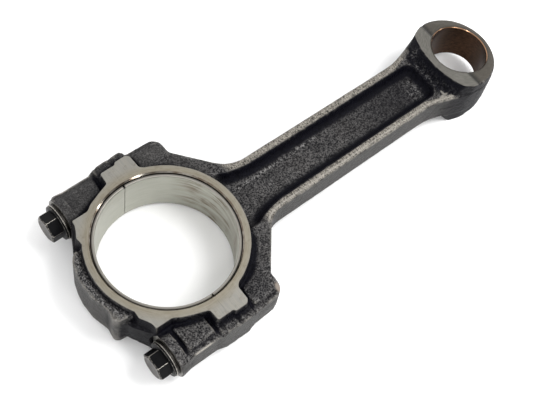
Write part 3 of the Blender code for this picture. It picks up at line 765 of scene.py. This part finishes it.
def finish_forging(ob):
    """Sorts faces into forged and machined, and paints the forged skin: bare flange tops, trimmed walls, worn edges
    with painted highlights along edges and crests, painted glint specks, and hollows darkened partly for oil and partly
    as painted shade.
    """
    me = ob.data
    me.materials.clear()
    for m in (FORGED, MACHINED, EYE, JOINT, OILED):
        me.materials.append(m)
    n = len(me.polygons)
    c, nor = np.zeros(n * 3, np.float32), np.zeros(n * 3, np.float32)
    me.polygons.foreach_get("center", c)
    me.polygons.foreach_get("normal", nor)
    c, nor = c.reshape(-1, 3) / MM, nor.reshape(-1, 3)
    index = np.zeros(n, np.int32)
    r = np.hypot(c[:, 0], c[:, 1])
    flat = (np.abs(np.abs(c[:, 2]) - HALF) < 0.02) & (np.abs(nor[:, 2]) > 0.98)
    index[flat & (c[:, 0] < 100)] = 1
    index[flat & (c[:, 0] > 100)] = 2
    taper = (c[:, 0] > TAPER_X - 0.1) & (np.abs(nor[:, 2]) > 0.6) & (np.abs(np.abs(c[:, 2]) - taper_height(c[:, 0])) < 0.06)
    index[taper] = 2
    index[(np.hypot(c[:, 0] - CENTRES, c[:, 1]) < EYE_BORE_R + 0.03)] = 2
    index[(r < HOUSING_R + 0.02) & (np.abs(nor[:, 2]) < 0.1)] = 3
    index[(r < HOUSING_R + 0.59) & (np.abs(nor[:, 2]) > 0.3) & (np.abs(nor[:, 2]) < 0.95) & (np.abs(c[:, 2]) > HALF - 0.61)] = 4
    index[np.abs(c[:, 0]) < SPLIT + 0.01] = 3
    index[(np.abs(c[:, 0] - SEAT_X) < 0.02) & (np.abs(nor[:, 0]) > 0.98)] = 3
    bolt = np.hypot(np.abs(c[:, 1]) - BOLT_Y, c[:, 2])
    index[(bolt < HOLE_R + 0.02)] = 3
    me.polygons.foreach_set("material_index", index)

    p = points_of(me)
    vn = np.zeros(len(me.vertices) * 3, np.float32)
    me.vertex_normals.foreach_get("vector", vn)
    vn = vn.reshape(-1, 3).astype(float)
    x, y, z = p.T
    up = np.abs(vn[:, 2])
    edge = sampled(edge_field, p)
    deep = sampled(hollow_field, p)
    out = sampled(plan, p)
    n1, n2, n3 = value_noise(p, 1.6, 11), value_noise(p, 4.5, 12), value_noise(p, 0.8, 13)
    az = np.abs(z)
    # tops of the beam's flanges, bared along their length
    past = sampled(pocket_plan, p)
    flat_top = ramp(az, PLATE - 0.7, PLATE - 0.2) * ramp(up, 0.72, 0.93)
    strip = ramp(-out + 0.07 * n1, 0.25, 0.5) * ramp(past + 0.08 * n1, 0.6, 1.0)
    strip *= 1 - ramp(-out + 0.1 * n1 + 1.3 * ramp(x, 146, 152), 3.8, 4.2)
    strip *= flat_top
    finish_x = np.where(y < 0, 163.0, 157.5)
    strip *= ramp(x + 1.2 * n2, 43.5, 47.5) * (1 - ramp(x + 1.0 * n2, finish_x - 1.5, finish_x + 1.0) * np.where(y < 0, 1, 0.75))
    strip *= 1 - ramp(x, 164, 165.5)
    # painted highlight: a bright line along the middle of each flange top, strong on the -Y flange
    crest_highlight = np.exp(-((out + 1.6 + 0.06 * n2) / 0.42) ** 2) * flat_top * ((x > 44) & (x < 163)) * np.where(y < 0, 0.85, 0.1)
    # walls along the trimmed outline
    trim = ramp(-up, -0.75, -0.35) * ramp(out, -2.2, -1.2)
    trim = np.maximum(trim, ramp(-up, -0.75, -0.35) * ramp(-np.abs(out + 0.8), -1.4, -0.6) * (x < -27))
    trim *= 1 - 0.35 * ramp(x, 100, 125)
    trim = np.maximum(trim, 0.55 * ramp(y + 0.8 * n2, 14, 24) * ramp(-x, -40, -30) * (1 - 0.5 * ramp(n2, -0.4, 0.6) * (x > 0)))
    # painted shade on the walls towards the eye and on the recess walls beside the rib
    shade = 0.82 * ramp(x, 150, 166) * (out > -3) * ramp(-up, -0.8, -0.4)
    shade = np.maximum(shade, 0.9 * ramp(-np.abs(np.abs(y) - 25), -8.0, -6.0) * (x < -24) * ramp(-up, -0.8, -0.4))
    # edges rubbed bare, with thin lines painted lighter along edges and rims as painted highlights
    wear_and_highlight = ramp(edge + 0.08 * n1 + 0.06 * n3, 0.16, 0.42) * 0.42 * ramp(n2 + 0.6 * n1, -0.9, 0.3)
    wear_and_highlight = np.maximum(wear_and_highlight, crest_highlight)
    # painted highlights: bright dashes along the plateau and shoulder rims
    rim = ramp(-np.abs(out + 0.35), -0.6, -0.25) * ramp(az, PLATE - 0.9, PLATE - 0.35) * ramp(n2 + 0.5 * n1, -0.5, 0.3)
    wear_and_highlight = np.maximum(wear_and_highlight, 0.95 * rim * ((x < -8) & (x > -28.5) & (np.abs(y) > 46)))
    wear_and_highlight = np.maximum(wear_and_highlight, 0.35 * rim * (x > 11) * (x < 29) * (np.abs(y) > 40))
    wear_and_highlight = np.maximum(wear_and_highlight, 0.45 * ramp(-np.abs(out + 0.5), -0.8, -0.3) * ramp(edge, 0.1, 0.3) * (x < 12) * (x > -28.5) * (y > 40))
    ring_out = sampled(ring_plan, p)
    # painted highlight: a thin bright line along the thrust ring's edge
    wear_and_highlight = np.maximum(wear_and_highlight, 0.7 * ramp(az, HALF - 0.45, HALF - 0.1) * ramp(-np.abs(ring_out - 0.2), -1.0, -0.5) * (x < 60))
    hollow = ramp(-deep + 0.04 * n2, 0.05, 0.45)
    hollow = np.maximum(hollow, 0.95 * ramp(-edge, 0.05, 0.22))
    near_ring = ramp(-np.abs(ring_out - 1.2), -2.4, -0.6) * ramp(-az, -13.6, -12.9)
    hollow = np.maximum(hollow, 0.95 * near_ring * ramp(x, -31, -28) * (1 - ramp(x, 34, 60)))
    # darker beside the thrust ring on the shoulders and on the +Y boss
    dark_by_ring = ramp(-ring_out + 0.8 * n2, -8.5, -1.0) * (ramp(y, 12, 20) * (x < 34) + ramp(-y, 26, 32) * ramp(x, 9, 12) * (x < 32))
    hollow = np.maximum(hollow, 0.55 * dark_by_ring)
    boss = ramp(y, 26, 32) * (x < 34) * ramp(n2 + 2.0, 0.8, 2.2)
    hollow = np.maximum(hollow, np.where(x < 8, 0.34, 0.45 * ramp(y, 38, 44)) * boss)
    hollow = np.maximum(hollow, 0.36 * ramp(-y, 28, 34) * ramp(x, 9, 12) * (x < 32) * ramp(-out, -0.2, 0.8) * ramp(n2 + 2.0, 0.8, 2.2))
    # pocket: walls painted near black as painted shade, a painted highlight line along the foot of the +Y one where its
    # fillet catches the light, and a floor darker towards the eye
    inside = ramp(x, 36, 42) * (x < 160) * (az < PLATE - 0.1)
    depth = -past + 0.35 * n2 + 0.2 * n1
    wall = np.where(y < 0, 1 - ramp(depth, 2.9, 6.4), 1 - ramp(depth, 2.7, 4.6 + 0.8 * ramp(x, 85, 110))) * ramp(-past, -0.9, -0.3)
    hollow = np.maximum(hollow * (1 - inside), wall * inside)
    hollow = np.maximum(hollow, 0.62 * ramp(x, 85, 150) * (1 - ramp(x, 157, 159)) * ramp(-past, 0.0, 1.0))
    # painted shade: the pocket's web a little darker on its +Y side
    hollow = np.maximum(hollow, inside * 0.18 * ramp(y, -1.0, 2.0) * (past < 0))
    foot = np.exp(-((y - 6.0 - 0.3 * n2) / 0.7) ** 2) * ramp(x, 40, 46) * (1 - ramp(x, 88, 104)) * (z > 0) * inside
    patch = np.maximum(ramp(-np.hypot((x - 151.5) / 2.6, (y - 3.7) / 2.2), -1.3, -0.3), ramp(-np.hypot((x - 151.0) / 4.0, (y + 2.5) / 5.5), -1.3, -0.3))
    front = ramp(x, 158.5, 160.5) * (1 - ramp(x, 168, 169)) * ramp(az, 6.5, 8.5) * (np.abs(y) < 19.5) * ramp(-out, 0.6, 1.4)
    front = np.maximum(front, ramp(x, 157.0, 158.5) * (1 - ramp(x, 168, 169)) * (np.abs(y) < 16) * ramp(-out, 2.5, 3.6))
    hollow = np.maximum(np.maximum(hollow, front), shade)
    crown = (x < -29) * (np.abs(y) < 19.5) * ramp(np.hypot(x, y), 37.0, 38.3) * ramp(az, 6.5, 8.5)
    hollow *= 1 - 0.75 * crown
    brink = ramp(-np.abs(past - 1.3), -1.2, -0.2) * (x > 156.5) * (y < 8)
    smudge = ramp(-np.hypot((x - 162.2) / 2.6, (y - 12.5) / 2.0) + 0.3 * n1, -1.2, -0.3)
    fleck_and_glint = np.maximum.reduce([1.0 * foot, 0.45 * patch * (past < -1.0) * (z > 0), 0.10 * front * (1 - ramp(az, 9.0, 13.0)),
                               0.3 * brink * (z > 5), 0.5 * smudge * (z > 5)])
    fleck_and_glint = np.maximum(fleck_and_glint, 0.30 * ramp(-np.abs(edge - 0.2), -0.25, -0.05) * (x < 36) * (1 - trim))
    fleck_and_glint = np.maximum(fleck_and_glint, 0.45 * crown)
    # painted shade: the notch between rib and boss is painted black to its brim
    notch = (x < -28.6) * ramp(np.abs(y), 19.8, 20.8) * (1 - ramp(np.abs(y), 30.5, 32.0))
    fleck_and_glint, wear_and_highlight, hollow = fleck_and_glint * (1 - notch), wear_and_highlight * (1 - notch), np.maximum(hollow, 0.9 * notch)
    # the rib's -Y corner is rubbed lighter
    wear_and_highlight = np.maximum(wear_and_highlight, 0.22 * ramp(-np.hypot(x + 39.6, y + 16.4), -3.2, -1.6) * ramp(n2 + 0.8 * n1, -0.8, 0.6))
    spot = np.hypot((x - 26.9) / 1.7, (y + 45.2) / 2.7)
    rust = ramp(-spot + 0.35 * n1, -1.1, -0.5) * ramp(z, 1.0, 5.0) * 0.9
    burr = np.minimum(np.hypot((x - 158.6) / 2.6, (y + 13.9) / 0.7), np.hypot((x - 159.4) / 0.6, (y + 12.7) / 1.7))
    wear_and_highlight = np.maximum(wear_and_highlight, 0.7 * ramp(-burr + 0.2 * n1, -1.3, -0.6) * ramp(z, 5.0, 7.0))
    for name, values in (("strip", strip), ("trim", trim * (1 - strip)), ("wear_and_highlight", wear_and_highlight), ("hollow", hollow * (1 - strip)),
                         ("rust", rust), ("fleck_and_glint", fleck_and_glint * (1 - strip))):
        put(me, name, values)
    me.shade_smooth()
    me.set_sharp_from_angle(angle=math.radians(38))
    return ob


rod = finish_forging(halves["rod_forging"])
cap = finish_forging(halves["cap_forging"])
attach(rod, "rod")
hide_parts("rod_body")
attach(cap, "cap")
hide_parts("rod_cap")


# ------------------------------------------------------------------ bearing shells
def bearing_shell(name, a0, a1, tang):
    n = 120
    gap = math.degrees(0.14 / SHELL_IN_R)
    section = [(SHELL_IN_R + 0.55, -SHELL_HALF), (SHELL_IN_R + 0.25, -SHELL_HALF + 0.18), (SHELL_IN_R + 0.02, -SHELL_HALF + 0.55)]
    section += [(SHELL_IN_R, z) for z in np.linspace(-SHELL_HALF + 0.9, SHELL_HALF - 0.9, 25)]
    section += [(SHELL_IN_R + 0.02, SHELL_HALF - 0.55), (SHELL_IN_R + 0.25, SHELL_HALF - 0.18), (SHELL_IN_R + 0.55, SHELL_HALF)]
    section += [(SHELL_OUT_R - 0.25, SHELL_HALF), (SHELL_OUT_R, SHELL_HALF - 0.25), (SHELL_OUT_R, -SHELL_HALF + 0.25),
                (SHELL_OUT_R - 0.25, -SHELL_HALF)]
    rings = []
    for k in range(n + 1):
        a = a0 + gap + (a1 - a0 - 2 * gap) * k / n
        c, s = math.cos(math.radians(a)), math.sin(math.radians(a))
        rings.append([(r * c, r * s, z) for r, z in section])
    ob = lathe(name, rings)
    ob = boolean(ob, [box_piece(name + "_tang", *tang)], "UNION")
    notches = []
    for s in (1, -1):
        outline = [(-0.75, SHELL_HALF + 0.5), (0.75, SHELL_HALF + 0.5), (0.0, SHELL_HALF - 1.3)]
        ys = sorted((s * 30.5, s * 33.6))
        notches.append(prism_piece(name + "_relief", outline, *ys))
    ob = boolean(ob, notches, "DIFFERENCE")
    me = ob.data
    me.materials.clear()
    me.materials.append(SHELL)
    p = points_of(me)
    x, y, z = p.T
    r = np.hypot(x, y)
    turn = np.degrees(np.arctan2(y, x))
    put(me, "edge", ramp(r, SHELL_IN_R + 0.08, SHELL_IN_R + 0.3))
    put(me, "oil", ramp(r, SHELL_IN_R + 1.15, SHELL_IN_R + 1.4))
    low = ramp(-np.abs(turn - 2), -52, -22) * (0.35 + 0.65 * ramp(value_noise(p, 5.0, 31), -0.3, 0.5))
    put(me, "film", low * (r < SHELL_IN_R + 0.3))
    me.shade_smooth()
    me.set_sharp_from_angle(angle=math.radians(30))
    return ob


upper = bearing_shell("upper_shell", -90, 90, ((0.12, 32.3, -10.2), (4.4, 34.3, -5.8)))
lower = bearing_shell("lower_shell", 90, 270, ((-4.4, 32.3, 5.8), (-0.12, 34.3, 10.2)))
for ob, node, body in ((upper, "upper_bearing_shell", "rod"), (lower, "lower_bearing_shell", "cap")):
    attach(ob, body)
    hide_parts(node)


# ------------------------------------------------------------------ small-end bush
def small_end_bush():
    n = 192
    a = np.linspace(0, math.tau, n, endpoint=False)
    depths = np.linspace(-1, 1, 21)
    rings, kinds = [], []

    def ring(r, height):
        x = CENTRES + r * np.cos(a)
        return np.stack([x, r * np.sin(a), height(taper_height(x))], 1)

    for t in depths:
        rings.append(ring(BUSH_IN_R, lambda h, t=t: t * (h - 0.55)))
        kinds.append("bore")
    rings.append(ring(BUSH_IN_R + 0.22, lambda h: h - 0.28))
    kinds.append("chamfer")
    rings.append(ring(BUSH_IN_R + 0.45, lambda h: h - 0.04))
    kinds.append("back")
    rings.append(ring(BUSH_OUT_R, lambda h: h - 0.03))
    kinds.append("back")
    rings.append(ring(BUSH_OUT_R, lambda h: -h + 0.03))
    kinds.append("back")
    rings.append(ring(BUSH_IN_R + 0.45, lambda h: -h + 0.04))
    kinds.append("back")
    rings.append(ring(BUSH_IN_R + 0.22, lambda h: -h + 0.28))
    kinds.append("chamfer")
    ob = lathe("bush", rings, cyclic_rings=True)
    me = ob.data
    me.materials.clear()
    me.materials.append(BUSH)
    put(me, "edge", np.repeat([1.0 if k == "chamfer" else 0.0 for k in kinds], n))
    put(me, "back", np.repeat([1.0 if k == "back" else 0.0 for k in kinds], n))
    me.shade_smooth()
    me.set_sharp_from_angle(angle=math.radians(30))
    return ob


bush = small_end_bush()
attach(bush, "rod")
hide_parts("small_end_bush")


# ------------------------------------------------------------------ bolts, washers and dowel pins
def bolt_piece(name, y, phase):
    """A flanged hexagon bolt about X: crowned head, flange, plain shank and a rolled thread, its axis at height 0."""
    n = 120
    a = np.linspace(0, math.tau, n, endpoint=False) + math.radians(phase)
    seat = SEAT_X - 0.3 - WASHER_T - 0.3
    u = np.mod(np.degrees(a) - phase, 60.0) - 30.0
    flat = HEX_AF / 2 / np.cos(np.radians(u))
    flat = np.minimum(flat, HEX_AF / math.sqrt(3) - 0.1)
    # wear_and_highlight: bare steel on worn corners, and painted highlights on the flange rims and hex edges
    rings, wear_and_highlight, face = [], [], []

    def add(x, r, w=0.0, f=0.0):
        r = np.broadcast_to(np.asarray(r, float), a.shape)
        rings.append(np.stack([np.full(n, x), y + r * np.cos(a), r * np.sin(a)], 1))
        wear_and_highlight.append(np.broadcast_to(np.asarray(w, float), a.shape))
        face.append(np.broadcast_to(np.asarray(f, float), a.shape))

    end = seat - FLANGE_T - HEX_H
    corner = ramp(np.abs(u), 27.6, 29.4)
    for r in (0.6, 1.8, 3.0, 4.2, 5.1):
        add(end + 0.12 * ramp(np.array([4.6 - r]), 0, 1)[0], r, 0.18, 1.0)
    add(end, 5.55, 0.7, 1.0)
    # crown chamfer across the corners
    for t in (0.0, 0.25, 0.5, 0.75, 1.0):
        cone = 5.75 + 1.75 * t
        on = np.minimum(flat, cone)
        rim = ramp(-(np.abs(flat - cone)), -0.35, 0.0)
        add(end + 0.12 + 0.85 * t, on, np.maximum(0.7 * rim, 0.95 * corner), 0.5 * (flat > cone))
    for t in np.linspace(0.1, 1.0, 9):
        add(end + 0.97 + (HEX_H - 0.97 - 0.25) * t, flat, 0.78 * corner, 0.0)
    # flange: cone, rounded rim and bearing face
    base = seat - FLANGE_T
    for dx, r, w in ((-0.1, flat + 0.08, 0.0), (0.0, flat + 0.3, 0.0), (0.04, 7.5, 0.0), (0.14, 7.95, 0.0), (0.24, 8.25, 0.1),
                     (0.34, FLANGE_R - 0.08, 0.55), (0.42, FLANGE_R, 0.5), (0.50, FLANGE_R, 0.0), (0.82, FLANGE_R, 0.1),
                     (0.92, FLANGE_R - 0.06, 0.5), (1.0, FLANGE_R - 0.22, 0.2)):
        add(base + dx, r, w)
    add(seat, 6.4, 0.2)
    add(seat, SHANK_R + 0.45, 0.1)
    add(seat + 0.35, SHANK_R + 0.08, 0.1)
    add(seat + 0.7, SHANK_R, 0.05)
    start = -1.5
    for x in np.linspace(seat + 3, start - 2.2, 10):
        add(x, SHANK_R, 0.05)
    turns = (THREAD_TIP_X - 0.2 - start) / PITCH
    for x in np.arange(start - 1.2, THREAD_TIP_X - 1.0, PITCH / 8):
        frac = np.mod(x / PITCH - a / math.tau, 1.0)
        depth = np.clip((np.abs(frac - 0.5) * 2 - 0.12) / 0.76, 0, 1)
        fade = ramp(np.array([x]), start - 1.2, start + 1.2)[0]
        tip = 0.9 * ramp(np.array([x]), THREAD_TIP_X - 2.6, THREAD_TIP_X - 0.8)[0]
        add(x, np.maximum(SHANK_R - 0.92 * depth * fade - tip * (1 - depth), 3.7), 0.35 * (1 - depth))
    add(THREAD_TIP_X - 0.8, 3.9, 0.2)
    add(THREAD_TIP_X, 3.3, 0.2)
    add(THREAD_TIP_X, 1.2, 0.2)
    ob = lathe(name, rings)
    me = ob.data
    me.materials.clear()
    me.materials.append(BOLT)
    put(me, "wear_and_highlight", np.concatenate(wear_and_highlight))
    put(me, "face", np.concatenate(face))
    me.shade_smooth()
    me.set_sharp_from_angle(angle=math.radians(32))
    return ob


def washer_piece(name, y):
    n = 128
    x1 = SEAT_X - 0.06
    x0 = SEAT_X - 0.6 - WASHER_T + 0.08
    profile = [(5.5, x0 + 0.2), (5.7, x0), (7.0, x0), (WASHER_R - 0.35, x0), (WASHER_R - 0.1, x0 + 0.09), (WASHER_R, x0 + 0.32),
               (WASHER_R, (x0 + x1) / 2), (WASHER_R, x1 - 0.32), (WASHER_R - 0.1, x1 - 0.09), (WASHER_R - 0.35, x1), (5.7, x1),
               (5.5, x1 - 0.2)]
    # rim values: partly wear, partly painted highlights on the thin rims
    rims = [0.1, 0.1, 0.0, 0.3, 0.8, 0.6, 0.0, 0.2, 0.6, 0.2, 0.1, 0.1]
    ob = lathe(name, [circle("X", r, x, (0, y, 0), n) for r, x in profile], cyclic_rings=True)
    me = ob.data
    me.materials.clear()
    me.materials.append(WASHER)
    put(me, "wear_and_highlight", np.repeat(rims, n))
    me.shade_smooth()
    me.set_sharp_from_angle(angle=math.radians(40))
    return ob


for k, y, phase in ((1, BOLT_Y, 37.0), (2, -BOLT_Y, 2.6)):
    s = 1 if y > 0 else -1
    bolt = bolt_piece("bolt_%d" % k, y, phase)
    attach(bolt, "bolt_%d" % k)
    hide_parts("cap_bolt_%d" % k)
    washer = washer_piece("washer_%d" % k, y)
    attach(washer, "washer_%d" % k)
    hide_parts("bolt_washer_%d" % k)
    pin = turned_piece("dowel_pin_%d" % k, "X", [(0.6, -4.5), (1.5, -4.5), (1.85, -4.1), (2.0, -3.7), (2.0, 3.7), (1.85, 4.1),
                                                 (1.5, 4.5), (0.6, 4.5)], (0, s * DOWEL_Y, s * DOWEL_Z), 48)
    pin.data.materials.clear()
    pin.data.materials.append(PIN)
    pin.data.set_sharp_from_angle(angle=math.radians(40))
    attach(pin, "rod")
    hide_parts("cap_dowel_pin_%d" % k)

# ------------------------------------------------------------------ floor, light and camera
bm = bmesh.new()
bmesh.ops.create_grid(bm, x_segments=1, y_segments=1, size=4.0)
me = bpy.data.meshes.new("floor")
bm.to_mesh(me)
bm.free()
floor = bpy.data.objects.new("floor", me)
scene = bpy.context.scene
scene.collection.objects.link(floor)
paper = Paint("studio_paper", 1.0, Roughness=0.9)
paper.bsdf.inputs["Specular IOR Level"].default_value = 0.1
me.materials.append(paper.done(paper.mix(paper.noise(40.0, 2.0), (0.93, 0.93, 0.93), (0.94, 0.94, 0.94))))

SKY_LOW, SKY_TOP = 1.8, 0.93
world = bpy.data.worlds.new("studio")
world.use_nodes = True
sky = world.node_tree
way = sky.nodes.new("ShaderNodeTexCoord").outputs["Generated"]


def sky_math(op, *values):
    n = sky.nodes.new("ShaderNodeMath")
    n.operation = op
    n.use_clamp = op == "MULTIPLY_ADD"
    for value, socket in zip(values, n.inputs):
        if isinstance(value, bpy.types.NodeSocket):
            sky.links.new(value, socket)
        else:
            socket.default_value = value
    return n.outputs[0]


split = sky.nodes.new("ShaderNodeSeparateXYZ")
sky.links.new(way, split.inputs[0])
# paler at the horizon than overhead, and a darker room low on the -Y side
height = sky_math("MAXIMUM", split.outputs[2], 0.0)
dome = sky_math("SUBTRACT", SKY_LOW, sky_math("MULTIPLY", height, SKY_LOW - SKY_TOP))
facing = sky_math("SUBTRACT", sky_math("MULTIPLY", split.outputs[1], -1.0), sky_math("MULTIPLY", height, 0.9))
room = sky_math("MULTIPLY_ADD", facing, 2.6, -0.5)
tone = sky_math("MULTIPLY", dome, sky_math("SUBTRACT", 1.0, sky_math("MULTIPLY", room, 0.8)))
sky.nodes["Background"].inputs[0].default_value = (1, 1, 1, 1)
sky.links.new(tone, sky.nodes["Background"].inputs[1])
scene.world = world


def area_light(name, at, target, size, power, color=(1, 1, 1)):
    data = bpy.data.lights.new(name, "AREA")
    data.shape = "DISK"
    data.size = size
    data.energy = power
    data.color = color
    ob = bpy.data.objects.new(name, data)
    ob.location = at
    ob.rotation_euler = (Vector(target) - Vector(at)).to_track_quat("-Z", "Y").to_euler()
    scene.collection.objects.link(ob)
    return ob


area_light("key", (0.45, -0.37, 1.0), (0, 0, 0), 0.6, 9.0)
area_light("glint_front", (-0.05, -0.88, 0.46), (0, 0, 0), 0.14, 1.3)
area_light("glint_right", (0.72, -0.65, 0.27), (0, 0, 0), 0.10, 0.75)
area_light("glint_left", (-0.55, -0.45, 0.66), (0.18, 0, 0), 0.14, 0.75)

camera_data = bpy.data.cameras.new("camera")
camera_data.sensor_width = 36.0
camera_data.sensor_fit = "HORIZONTAL"
camera_data.lens = 73.606
camera = bpy.data.objects.new("camera", camera_data)
camera.matrix_world = Matrix(((0.77147851, 0.51232146, -0.37728985, -0.215608),
                              (-0.62565266, 0.71865701, -0.30346475, -0.159111),
                              (0.1156705, 0.47016893, 0.87496372, 0.456164),
                              (0, 0, 0, 1)))
scene.collection.objects.link(camera)
scene.camera = camera
scene.view_settings.view_transform = "Standard"
